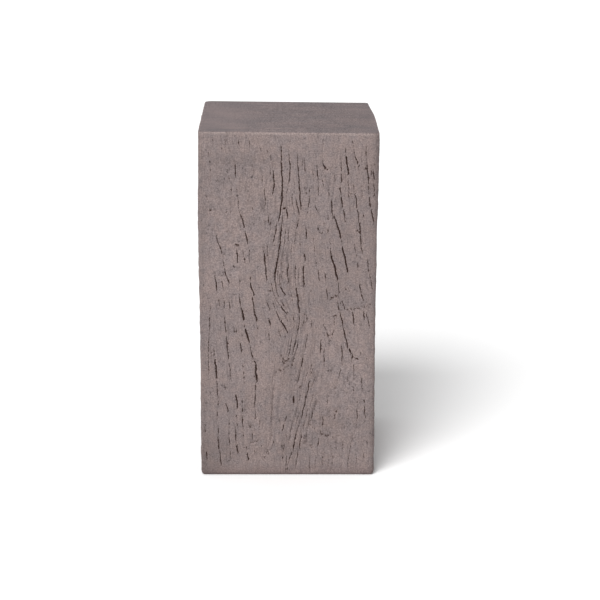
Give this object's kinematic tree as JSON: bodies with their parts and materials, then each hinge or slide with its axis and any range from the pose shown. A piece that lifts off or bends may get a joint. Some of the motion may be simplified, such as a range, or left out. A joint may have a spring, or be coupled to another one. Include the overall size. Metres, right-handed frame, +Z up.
{
  "type": "timber-look pedestal",
  "caption": "Square upright block pedestal with a flat top and weathered timber checks down its sides, for standing a planter, lamp or ornament on.",
  "frame": {"origin": "middle of the underside, on the surface that the pedestal stands on", "axes": "+Z up the block's height, -Y out of its best side, +X to the right of that side"},
  "size_m": [0.305, 0.305, 0.61],
  "materials": {
    "timber_grained_casting": "matt mauve-grey casting with a fine sandy skin, weathered timber grain and dark checks on the sides, and a smooth trowelled top"
  },
  "bodies": {
    "root": {"pedestal": "timber_grained_casting"}
  },
  "joints": []
}
